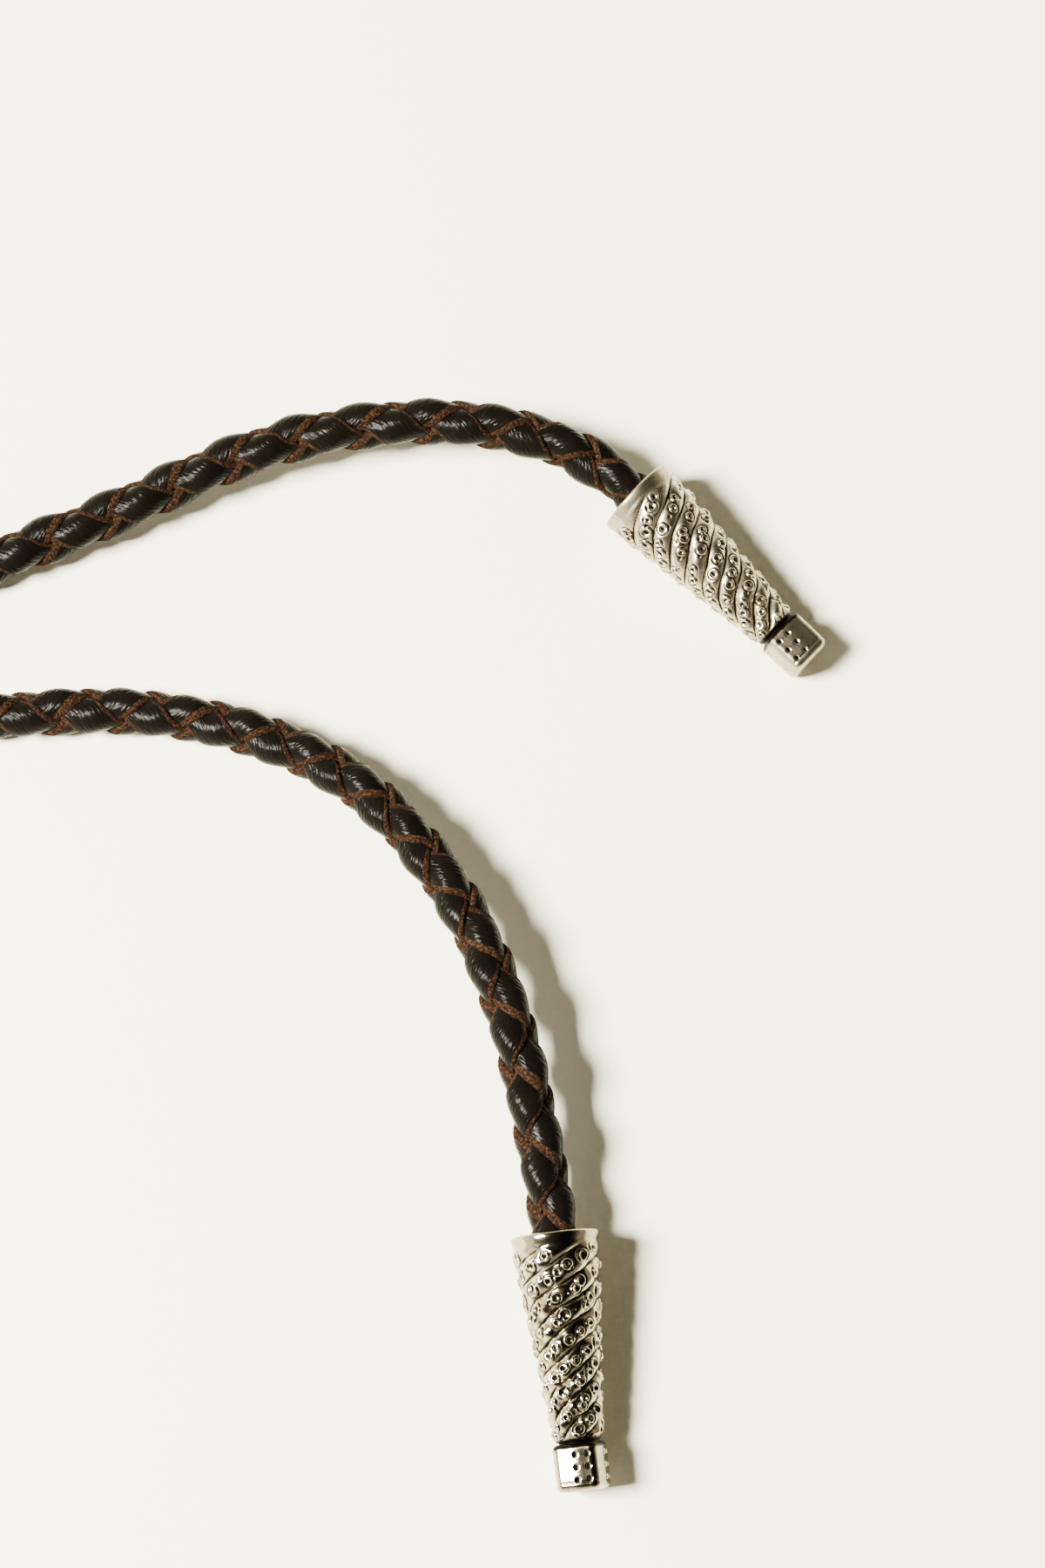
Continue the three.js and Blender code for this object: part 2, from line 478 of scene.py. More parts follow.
@dataclass(frozen=True)
class PaintedBoard:
    """A smooth board under several coats of off-white paint: matt, with faint brush marks."""

    paint: str = "#F5F3DC"
    roughness: float = 0.7
    # A brush mark's width, and how many times longer than that it is.
    brush_mm: float = 0.3
    brush_length: float = 9.0
    brush_turn: float = math.radians(40)
    relief_mm: float = 0.05

    def material(self) -> bpy.types.Material:
        """Builds the paint. It reads Object places."""
        material, shader = new_material("painted_board_off_white")
        tree = material.node_tree
        place = add_node(tree, "TexCoord")
        along = add_node(
            tree,
            "Mapping",
            inputs={
                "Vector": place.outputs["Object"],
                "Rotation": (0.0, 0.0, self.brush_turn),
                "Scale": (1.0, self.brush_length, 1.0),
            },
        )
        scale = 1 / (self.brush_mm * self.brush_length * MM)
        brush = add_node(
            tree,
            "TexNoise",
            inputs={"Vector": along.outputs["Vector"], "Scale": scale, "Detail": 3.0},
        )
        bump = add_node(
            tree,
            "Bump",
            inputs={
                "Strength": 0.6,
                "Distance": self.relief_mm * MM,
                "Height": brush.outputs["Fac"],
            },
        )
        tree.links.new(bump.outputs["Normal"], shader.inputs["Normal"])
        shader.inputs["Base Color"].default_value = linear(self.paint)
        shader.inputs["Roughness"].default_value = self.roughness
        return material


# ---------------------------------------------------------------- the cord


class Lean(Enum):
    """Which way a lace winds round the cord as it goes along."""

    LEFT = 1
    RIGHT = -1


@dataclass
class Route:
    """The cord's centreline as closely spaced points, with the sideways and upward directions."""

    anchors: Sequence[tuple[float, float, float]]
    spacing: float = 0.25 * MM
    # How far along itself the curve is averaged, so that its bends run on without a kink.
    softening: float = 2.5 * MM
    # The laces' crowns stand out past the cord's own radius, so it is raised off the board.
    lift: float = 0.15 * MM

    def __post_init__(self) -> None:
        """Samples the curve, evens out its bends and measures it."""
        dense = self._through_anchors()
        length = np.linalg.norm(np.diff(dense, axis=0), axis=1).sum()
        count = int(round(length / self.spacing)) + 1
        even = self._evenly(dense, count)
        self.points = self._evenly(self._softened(even), count) + np.array([0.0, 0.0, self.lift])
        steps = np.linalg.norm(np.diff(self.points, axis=0), axis=1)
        self.stations = np.concatenate([[0.0], np.cumsum(steps)])
        self.length = float(self.stations[-1])
        along = np.gradient(self.points, axis=0)
        along /= np.linalg.norm(along, axis=1, keepdims=True)
        up = np.array([0.0, 0.0, 1.0]) - along[:, 2:3] * along
        self.up = up / np.linalg.norm(up, axis=1, keepdims=True)
        self.side = np.cross(along, self.up)

    def _through_anchors(self, per_span: int = 60) -> np.ndarray:
        """Points on a centripetal Catmull-Rom curve: each span blends the two parabolas that pass
        through its own ends and one neighbour, with knots spaced by the root of the distance."""
        anchor = np.array(self.anchors)
        ends = np.vstack([2 * anchor[0] - anchor[1], anchor, 2 * anchor[-1] - anchor[-2]])
        gaps = np.linalg.norm(np.diff(ends, axis=0), axis=1)
        knots = np.concatenate([[0.0], np.cumsum(gaps**0.5)])
        start = np.arange(1, len(ends) - 2)
        share = np.arange(per_span) / per_span
        at = knots[start, None] + (knots[start + 1] - knots[start])[:, None] * share
        at = at[..., None]

        def blend(low: np.ndarray, high: np.ndarray, first: np.ndarray, last: np.ndarray) -> np.ndarray:
            """The straight mix of two curves between two knots."""
            t_low, t_high = low[:, None, None], high[:, None, None]
            return ((t_high - at) * first + (at - t_low) * last) / (t_high - t_low)

        knot = [knots[start + offset] for offset in (-1, 0, 1, 2)]
        point = [ends[start + offset][:, None, :] for offset in (-1, 0, 1, 2)]
        a1 = blend(knot[0], knot[1], point[0], point[1])
        a2 = blend(knot[1], knot[2], point[1], point[2])
        a3 = blend(knot[2], knot[3], point[2], point[3])
        b1 = blend(knot[0], knot[2], a1, a2)
        b2 = blend(knot[1], knot[3], a2, a3)
        curve = blend(knot[1], knot[2], b1, b2).reshape(-1, 3)
        return np.vstack([curve, anchor[-1]])

    @staticmethod
    def _evenly(curve: np.ndarray, count: int) -> np.ndarray:
        """The same curve with its points an equal distance apart."""
        station = np.concatenate([[0.0], np.cumsum(np.linalg.norm(np.diff(curve, axis=0), axis=1))])
        at = np.linspace(0.0, station[-1], count)
        return np.stack([np.interp(at, station, curve[:, axis]) for axis in range(3)], axis=1)

    def _softened(self, curve: np.ndarray) -> np.ndarray:
        """The curve averaged along itself with a bell-shaped weight, its ends run on straight."""
        reach = int(3 * self.softening / self.spacing)
        offset = np.arange(-reach, reach + 1)
        weight = np.exp(-0.5 * (offset * self.spacing / self.softening) ** 2)
        weight /= weight.sum()
        steps = np.arange(reach, 0, -1)[:, None]
        before = curve[0] - (curve[1] - curve[0]) * steps
        after = curve[-1] + (curve[-1] - curve[-2]) * steps[::-1]
        padded = np.vstack([before, curve, after])
        return np.stack([np.convolve(padded[:, axis], weight, "valid") for axis in range(3)], axis=1)

    def every(self, gap: float) -> list[tuple[float, float, float]]:
        """The centreline as plain points about one gap apart, both ends among them."""
        chosen = np.linspace(0, len(self.points) - 1, int(self.length / gap)).round().astype(int)
        return [tuple(point) for point in self.points[chosen].tolist()]

    def carry(self, station: np.ndarray, angle: np.ndarray, radius: np.ndarray) -> np.ndarray:
        """Places points round the centreline: the centre at a station, plus the radius along the
        sideways direction times the angle's cosine and the upward one times its sine."""
        station = np.clip(station, 0.0, self.length)

        def read(table: np.ndarray) -> np.ndarray:
            """A table of directions or centres read at each station."""
            columns = [np.interp(station, self.stations, table[:, axis]) for axis in range(3)]
            return np.stack(columns, axis=-1)

        sideways = read(self.side) * np.cos(angle)[..., None]
        across = sideways + read(self.up) * np.sin(angle)[..., None]
        return read(self.points) + across * radius[..., None]


@dataclass
class BraidedCord:
    """Four flat leather laces braided round: two wind left, two wind right, each over and under."""

    route: Route
    diameter: float = 6.0 * MM
    mid_radius: float = 2.08 * MM
    # How far a lace rises over the others and dips beneath them, and how short its crests are.
    wave: float = 0.42 * MM
    wave_sharpness: float = 2.0
    # How much of the half turn between its neighbours each lace covers.
    cover: float = 0.97
    lace_width: float = 5.5 * MM
    # A lace's own length for each length of cord, since it winds round at a slant.
    lace_stretch: float = 1.3
    # The cut edge's share of the half width, and how it differs by lean and along the lace.
    raw_share: float = 0.29
    raw_change: float = 0.22
    fray: float = 0.022
    # Half of how much flatter a lace's crown is where it is pressed under, and how uneven it is.
    crown_press: float = 0.12
    crown_change: float = 0.06
    # How far one side of a lace may stand above the other.
    tilt: float = 0.05 * MM
    # The length at each end over which a lace's slanted rows come square to the cord.
    settle_length: float = 4 * MM
    # How far apart a lace's rows are in the tails and elsewhere, and how far the tails reach.
    fine_step: float = 0.42 * MM
    coarse_step: float = 0.9 * MM
    fine_reach: float = 130 * MM

    # How the braid was laid: the station in millimetres, the crossings counted up to there, and
    # how far the whole braid is turned about the cord in degrees.
    LAY = (
        (0.0, 0.42, 100.0),
        (18.0, 2.54, 88.0),
        (28.0, 3.71, 62.0),
        (45.0, 5.71, 42.0),
        (55.0, 6.88, 35.0),
        (80.0, 9.82, 35.0),
        (753.0, 90.25, 132.0),
        (773.0, 92.75, 124.0),
        (792.0, 95.12, 114.0),
        (811.0, 97.49, 116.0),
        (829.0, 99.60, 140.0),
        (865.0, 103.80, 145.0),
    )

    # A lace's outline, from its tucked edge over the grain side and back beneath. Each point has
    # its share of the grain's half width, its share of the cut edge's width beyond that, its
    # height in millimetres, and 1 where the leather is raw.
    OUTLINE = (
        (-1.0, -1.00, -0.20, 1.0),
        (-1.0, -0.86, 0.08, 1.0),
        (-1.0, -0.55, 0.31, 1.0),
        (-1.0, -0.15, 0.43, 1.0),
        (-0.95, 0.0, 0.47, 0.0),
        (-0.72, 0.0, 0.56, 0.0),
        (-0.36, 0.0, 0.62, 0.0),
        (0.0, 0.0, 0.63, 0.0),
        (0.36, 0.0, 0.62, 0.0),
        (0.72, 0.0, 0.56, 0.0),
        (0.95, 0.0, 0.47, 0.0),
        (1.0, 0.15, 0.43, 1.0),
        (1.0, 0.55, 0.31, 1.0),
        (1.0, 0.86, 0.08, 1.0),
        (1.0, 1.00, -0.20, 1.0),
        (0.6, 0.0, -0.45, 1.0),
        (-0.6, 0.0, -0.45, 1.0),
    )

    # The longest and shortest waves in millimetres of each slow change along a lace: the width of
    # its left and right cut edges, its fray, its crown's height and its tilt.
    RIPPLES = ((19.0, 6.0), (17.0, 5.0), (2.4, 1.1), (14.0, 5.0), (23.0, 9.0))

    # How far apart the laces lie on the flat pattern, so that no two show the same streaks.
    PATTERN_GAP_MM = 37.0

    def _stations(self) -> np.ndarray:
        """Stations along the cord, close together in the two tails and wider elsewhere."""
        tail = int(self.fine_reach / self.fine_step)
        middle = int((self.route.length - 2 * self.fine_reach) / self.coarse_step)
        first = np.linspace(0.0, self.fine_reach, tail, endpoint=False)
        last = np.linspace(self.route.length - self.fine_reach, self.route.length, tail)
        between = np.linspace(first[-1] + self.fine_step, last[0], middle, endpoint=False)
        return np.concatenate([first, between, last])

    @staticmethod
    def _ripple(station: np.ndarray, seed: int, longest: float, shortest: float) -> np.ndarray:
        """A slow uneven change between about -1 and 1: the sum of six sine waves of mixed lengths,
        over about what such a sum rises to."""
        random = np.random.default_rng(seed)
        total = np.zeros_like(station)
        waves, usual_peak = 6, 2.6
        for _ in range(waves):
            length = random.uniform(shortest, longest)
            total += np.sin(2 * math.pi * station / length + random.uniform(0, 2 * math.pi))
        return total / usual_peak

    def _add_lace(self, shell: Shell, lean: Lean, number: int) -> None:
        """Adds one lace.

        With c crossings counted up to a station, the lace's middle line has wound round by pi c,
        to the left or right. A point off the middle line slides along the other laces' direction,
        so its angle and its crossing count both shift by half of its share of the width. Its
        radius is the mid radius, plus a wave that stands up like a sharpened cosine over each
        crossing where the lace is on top, plus the outline's height, which is pressed flatter
        where the lace passes under, plus a slight tilt from side to side.

        Args:
            shell: what the lace is added to.
            lean: which way it winds.
            number: 0 or 1, the lace's place in its pair.
        """
        lay = np.array(self.LAY)
        lay_station, lay_count, lay_turn = lay[:, 0] * MM, lay[:, 1], np.radians(lay[:, 2])
        grain, edge, height, raw = np.array(self.OUTLINE).T
        height = height * MM
        station = self._stations()[:, None]
        count = np.interp(station, lay_station, lay_count)
        seed = 10 * lean.value + number + 40
        left, right, fray, crowning, tilting = (
            self._ripple(station, seed + place, longest * MM, shortest * MM)
            for place, (longest, shortest) in enumerate(self.RIPPLES)
        )
        raw_share = self.raw_share * (1 + self.raw_change * lean.value)
        beside = raw_share * (1 + self.raw_change * np.where(grain < 0, left, right))
        across = (grain * (1 - beside) + edge * beside) * (1 + self.fray * fray)
        width = across * lean.value * (math.pi / 2) * self.cover
        to_end = np.minimum(station, self.route.length - station)
        settle = np.minimum(1.0, to_end / self.settle_length)
        shifted_count = count - lean.value * width / (2 * math.pi) * settle
        shifted = np.interp(shifted_count, lay_count, lay_station)
        turn = np.interp(shifted, lay_station, lay_turn)
        angle = lean.value * (math.pi * number + math.pi * count) + width / 2 + turn
        over = np.cos(2 * math.pi * count) * lean.value
        swing = 2 * ((1 + over) / 2) ** self.wave_sharpness - 1
        pressed = (1 - self.crown_press + self.crown_press * swing) * (1 + self.crown_change * crowning)
        crown = np.where(height > 0, height * pressed, height)
        radius = self.mid_radius + self.wave * swing + crown + self.tilt * across * tilting
        flat_along = station / MM * self.lace_stretch + self.PATTERN_GAP_MM * (number + lean.value)
        flat = np.broadcast_arrays(flat_along, across * self.lace_width / 2 / MM)
        shell.add_rings(
            self.route.carry(shifted, angle, radius),
            {"raw": raw},
            uv=np.stack(flat, axis=-1),
            flipped=lean is Lean.RIGHT,
        )

    def build(self) -> bpy.types.Object:
        """Builds the four laces as one piece."""
        shell = Shell()
        for lean in Lean:
            for number in (0, 1):
                self._add_lace(shell, lean, number)
        return shell.build("cord_of_four_laces")

    def dress(self, piece: bpy.types.Object, tips: Sequence[bpy.types.Object]) -> None:
        """Gives the cord its leather, fastens it to the body and hides the CAD cord that it replaces.

        Args:
            piece: the cord.
            tips: the two tips on its ends; not used.
        """
        piece.data.materials.append(GrainLeather().material())
        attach(piece, BODY)
        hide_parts("braided_cord")
        self.route.every(3 * MM)


# ---------------------------------------------------------------- the tips


@dataclass
class CastTip:
    """A cast tip: a cone of twisted ribs between a smooth rim and a squared cap."""

    name: str
    node: str
    # The middle of the rim seen from above, and the way that the axis points.
    rim: tuple[float, float]
    heading: float
    # How far the tip is turned about its axis.
    roll: float
    # How far the dimples are off the middle of the cap's flats.
    dimple_shift: float
    seed: int

    length: float = 30.5 * MM
    rim_radius: float = 5.3 * MM
    rim_width: float = 1.3 * MM
    rim_edge: float = 0.35 * MM
    neck_height: float = 24.6 * MM
    shoulder_radius: float = 5.15 * MM
    neck_radius: float = 2.72 * MM
    socket_radius: float = 3.4 * MM
    socket_depth: float = 12.0 * MM
    # The ribs, and how far along the axis each takes to wind round once.
    ribs: int = 5
    rib_lead: float = 13.5 * MM
    groove_depth: float = 0.55 * MM
    # The power that rounds a rib's bulge, and how far a rib strays from its winding, in radians.
    bulge_power: float = 0.62
    wander: float = 0.16
    hammering: float = 0.02 * MM
    # The rings' distance along a rib, and how high and wide each one's ridge is.
    ring_spacing: float = 1.9 * MM
    ring_ridge: float = 0.12 * MM
    pit_depth: float = 0.17 * MM
    # The fine line cut round each ring: how far outside it, how deep and how wide.
    line_gap: float = 0.24 * MM
    line_depth: float = 0.10 * MM
    line_width: float = 0.09 * MM
    cap_width: float = 5.9 * MM
    cap_length: float = 5.6 * MM
    cap_rounding: float = 1.0 * MM
    # How far in the cap is drawn at its corners, as a share of its width.
    cap_pillow: float = 0.07
    # The dimples' two columns and three rows from the middle of each flat, and each one's lip.
    dimple_column: float = 0.8 * MM
    dimple_rows: tuple[float, float, float] = (-1.5 * MM, 0.0, 1.45 * MM)
    dimple_depth: float = 0.26 * MM
    dimple_radius: float = 0.29 * MM
    lip_height: float = 0.025 * MM
    lip_radius: float = 0.42 * MM
    lip_width: float = 0.12 * MM
    # The fine groove round the cap, measured from its end.
    ledge_place: float = 1.05 * MM
    ledge_depth: float = 0.07 * MM
    ledge_width: float = 0.11 * MM
    floor_gap: float = 0.05 * MM
    sides: int = 310

    # How many of the outline's first rings the socket's patina may cover: its floor and wall, and
    # the start of its mouth.
    SOCKET_RINGS = 12

    def _profile(self) -> tuple[np.ndarray, np.ndarray, np.ndarray, np.ndarray]:
        """The outline from the socket's floor, over the rim, down the cone and round the cap.

        Returns:
            Each ring's radius, its height along the axis, how square it is from 0 to 1, and how
            much of the cone's relief it carries from 0 to 1.
        """
        core = self.cap_width / 2
        cap_top = self.length - self.cap_length
        cone_end = self.neck_height
        turn = np.linspace(0.0, math.pi / 2, 9)
        outward, onward = 1 - np.sin(turn), 1 - np.cos(turn)
        body = np.linspace(self.rim_width, cone_end, 190)
        mouth, edge, shoulder, foot = 0.3 * MM, self.rim_edge, 0.6 * MM, 0.8 * MM
        neck = np.array([cone_end + 0.1 * MM, cone_end + 0.18 * MM, cap_top - 0.02 * MM])
        wall = np.linspace(cap_top + 0.65 * MM, self.length - 0.85 * MM, 60)
        pieces = [
            # The socket: its floor, its wall and its rounded mouth.
            (np.array([1e-6, 1.7, 3.3]) * MM, np.full(3, self.socket_depth), 0, 0),
            (np.full(6, self.socket_radius), np.linspace(self.socket_depth, mouth, 6), 0, 0),
            (self.socket_radius + mouth * onward, mouth * outward, 0, 0),
            # The rim: its face, its rounded edge and its smooth band.
            (np.linspace(3.9, 4.8, 5) * MM, np.zeros(5), 0, 0),
            (self.rim_radius - edge * outward, edge * onward, 0, 0),
            (np.array([5.29, 5.26, 5.21]) * MM, np.array([0.55, 0.8, 1.05]) * MM, 0, 0),
            # The ribbed cone and the neck's groove.
            (self._taper(body), body, 0, 1),
            (np.array([2.55, 2.42, 2.42]) * MM, neck, 0, 0),
            # The cap: its upper face and shoulder, its flats, its foot and its end.
            (np.linspace(2.43 * MM, core - shoulder, 3), np.full(3, cap_top), 1, 0),
            (core - shoulder * outward, cap_top + shoulder * onward, 1, 0),
            (np.full(60, core), wall, 1, 0),
            (core - foot * onward, self.length - foot * outward, 1, 0),
            (np.linspace(core - foot - 0.1 * MM, 1e-6, 6), np.full(6, self.length), 1, 0),
        ]
        radius = np.concatenate([piece[0] for piece in pieces])
        height = np.concatenate([piece[1] for piece in pieces])
        square = np.concatenate([np.full(len(piece[0]), float(piece[2])) for piece in pieces])
        relief = np.concatenate([np.full(len(piece[0]), float(piece[3])) for piece in pieces])
        return radius, height, square, relief

    def _share(self, height: float | np.ndarray) -> float | np.ndarray:
        """How far down the cone a height is, from 0 at the rim to 1 at the neck."""
        return (height - self.rim_width) / (self.neck_height - self.rim_width)

    def _taper(self, height: float | np.ndarray) -> float | np.ndarray:
        """The cone's radius at a height, which falls evenly from the shoulder's to the neck's."""
        return self.shoulder_radius + (self.neck_radius - self.shoulder_radius) * self._share(height)

    def _squared(self, angle: np.ndarray) -> np.ndarray:
        """How much further out a rounded square reaches than its flat, at each angle: the distance
        to a square whose corners are rounded, drawn in a little towards the corners so that the
        flats are pillowed, over half of its width."""
        half = self.cap_width / 2
        core = half - self.cap_rounding
        folded = np.abs((angle + math.pi / 4) % (math.pi / 2) - math.pi / 4)
        flat = half / np.cos(folded)
        lean = folded - math.pi / 4
        reach = core * math.sqrt(2)
        chord = np.sqrt(self.cap_rounding**2 - (reach * np.sin(lean)) ** 2 + 0j).real
        corner = reach * np.cos(lean) + chord
        on_flat = flat * np.sin(folded) <= core
        pillow = 1 - self.cap_pillow * np.sin(2 * angle) ** 2
        return np.where(on_flat, flat, corner) * pillow / half

    def _cone_relief(self, angle: np.ndarray, height: np.ndarray) -> np.ndarray:
        """The cone's cast relief, outwards.

        Ribs wind round at one turn for each lead: the phase is half the rib count times the angle
        less its twist, and strays from that by two slow waves. Each rib is a round bulge, a power
        of the cosine's size, with a groove between. Rings stand along each rib's crest with a pit
        in their middles, and smaller pits lie between them.

        Args:
            angle: each point's angle about the axis.
            height: each point's height along it.

        Returns:
            How far each point is moved outwards.
        """
        full_turn = 2 * math.pi
        twist = full_turn * height / self.rib_lead
        stray = np.sin(3 * angle + height / (1.9 * MM))
        stray = stray + np.sin(2 * angle - height / (1.3 * MM) + self.seed)
        phase = self.ribs * (angle - twist) / 2 + self.wander * stray
        bulge = np.abs(np.cos(phase)) ** self.bulge_power
        depth = self.groove_depth * (0.8 + 0.6 * self._share(height))
        relief = depth * (bulge - 0.6) + self._hammering(angle, height)
        random = np.random.default_rng(self.seed)
        for rib in range(self.ribs):
            at = self.rim_width + random.uniform(0.6, 1.6) * MM
            while at < self.neck_height - 0.5 * MM:
                smaller = 1 - 0.2 * self._share(at)
                local = self._taper(at)
                size = random.uniform(0.38, 0.66) * MM * smaller
                along = rib + random.uniform(-0.16, 0.16)
                centre = full_turn * (at / self.rib_lead + along / self.ribs)
                relief += self._ring(self._distance(angle, height, local, centre, at), size)
                slope = math.hypot(1.0, full_turn * local / self.rib_lead)
                gap = self.ring_spacing * random.uniform(0.9, 1.25) * smaller
                halfway = at + 0.5 * gap / slope
                along = rib + random.uniform(-0.22, 0.22)
                centre = full_turn * (halfway / self.rib_lead + along / self.ribs)
                away = self._distance(angle, height, local, centre, halfway)
                relief -= self.pit_depth * bell(away, random.uniform(0.14, 0.22) * MM)
                at += gap / slope
        fade = smoothstep(0.0, 1.2 * MM, height - self.rim_width)
        fade = fade * smoothstep(0.0, 0.8 * MM, self.neck_height - height)
        return relief * fade

    def _hammering(self, angle: np.ndarray, height: np.ndarray) -> np.ndarray:
        """The cast's uneven skin: sixteen low waves that run round and along in mixed directions."""
        random = np.random.default_rng(self.seed + 100)
        total = np.zeros(np.broadcast(angle, height).shape)
        for _ in range(16):
            turns = random.integers(-12, 13)
            along = 2 * math.pi / random.uniform(1.7 * MM, 5.0 * MM)
            total += np.cos(turns * angle + along * height + random.uniform(0, 2 * math.pi))
        return self.hammering * total

    @staticmethod
    def _distance(
        angle: np.ndarray, height: np.ndarray, local: float, centre: float, at: float
    ) -> np.ndarray:
        """How far each point of the cone is from a centre on it, over the surface."""
        turned = (angle - centre + math.pi) % (2 * math.pi) - math.pi
        return np.hypot(turned * local, height - at)

    def _ring(self, away: np.ndarray, size: float) -> np.ndarray:
        """A raised ring with a pit in its middle and a fine line cut round its outside: three bell
        curves of the distance from its centre."""
        ridge = self.ring_ridge * bell(away - size, self.ring_ridge)
        pit = self.pit_depth * bell(away, 0.45 * size)
        line = self.line_depth * bell(away - size - self.line_gap, self.line_width)
        return ridge - pit - line

    def _cap_relief(self, angle: np.ndarray, height: np.ndarray) -> np.ndarray:
        """Two columns of three dimples on each flat of the cap, each with a faint raised lip, and a
        fine groove round it: bell curves of the distance from each."""
        relief = np.zeros(np.broadcast(angle, height).shape)
        middle = self.length - self.cap_length / 2
        for face in range(4):
            turned = (angle - face * math.pi / 2 + math.pi) % (2 * math.pi) - math.pi
            sideways = self.cap_width / 2 * np.tan(np.clip(turned, -1.2, 1.2))
            near = np.abs(turned) < 1.1
            for column in (-self.dimple_column, self.dimple_column):
                for row in self.dimple_rows:
                    across = sideways - (self.dimple_shift + column)
                    away = np.hypot(across, height - middle - row)
                    dimple = self.dimple_depth * bell(away, self.dimple_radius)
                    lip = self.lip_height * bell(away - self.lip_radius, self.lip_width)
                    relief = relief + np.where(near, lip - dimple, 0.0)
        from_end = height - self.length + self.ledge_place
        return relief - self.ledge_depth * bell(from_end, self.ledge_width)

    def _lying(self) -> Matrix:
        """The tip's place: it rests on its rim and its cap, so its axis falls towards the cap."""
        core = self.cap_width / 2 - self.cap_rounding
        reach = core * (math.cos(self.roll) + abs(math.sin(self.roll))) + self.cap_rounding
        pitch = math.atan((self.rim_radius - reach) / self.length)
        level = math.cos(pitch)
        ahead, beside = math.cos(self.heading), math.sin(self.heading)
        axis = Vector((level * ahead, level * beside, -math.sin(pitch)))
        up = (Vector((0, 0, 1)) - axis * axis.z).normalized()
        side = axis.cross(up)
        turned = Matrix((side, axis, up)).transposed() @ Matrix.Rotation(self.roll, 3, "Y")
        rim_drop = (self.rim_width - self.rim_edge) * math.sin(pitch)
        lift = self.rim_radius * level + rim_drop + self.floor_gap
        centre = Vector((self.rim[0], self.rim[1], lift))
        return Matrix.Translation(centre) @ turned.to_4x4()

    def build(self) -> bpy.types.Object:
        """Builds the tip as one closed surface of rings about its axis: each point lies outwards
        from the axis by its ring's radius, squared on the cap, plus the relief."""
        radius, height, square, relief = (values[:, None] for values in self._profile())
        angle = np.linspace(0.0, 2 * math.pi, self.sides, endpoint=False)[None, :]
        base = radius * (1 + square * (self._squared(angle) - 1))
        height = np.broadcast_to(height, base.shape)
        on_flat = (square > 0.5) & (radius > self.cap_width / 2 - 1e-7)
        bumps = relief * self._cone_relief(angle, height)
        bumps = bumps + np.where(on_flat, self._cap_relief(angle, height), 0.0)
        total = base + bumps
        points = np.stack([total * np.sin(angle), height, total * np.cos(angle)], axis=-1)
        place = np.array(self._lying())
        shell = Shell()
        shell.add_rings(
            points @ place[:3, :3].T + place[:3, 3], {"patina": self._patina(bumps, height)}
        )
        return shell.build(self.name)

    def _patina(self, bumps: np.ndarray, height: np.ndarray) -> np.ndarray:
        """How dark the patina is from 0 to 1: it lies where the relief is lower than its average
        round the same ring, in the neck's groove and in the socket."""
        turns = np.fft.fftfreq(bumps.shape[1])[None, :] * bumps.shape[1]
        average = np.fft.ifft(np.fft.fft(bumps, axis=1) * bell(turns, 16), axis=1).real
        hollow = smoothstep(-0.05 * MM, 0.15 * MM, average - bumps)
        neck = smoothstep(0.9 * MM, 0.0, np.abs(height - self.neck_height - 0.3 * MM))
        inside = (height > 0.25 * MM) & (np.arange(len(height)) < self.SOCKET_RINGS)[:, None]
        return np.clip(hollow + 0.8 * (neck + inside), 0.0, 1.0)

    def dress(self, piece: bpy.types.Object, metal: bpy.types.Material) -> None:
        """Gives the tip its metal, fastens it to the body and hides the CAD node that it replaces."""
        piece.data.materials.append(metal)
        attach(piece, BODY)
        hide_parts(self.node)


# ---------------------------------------------------------------- the slide


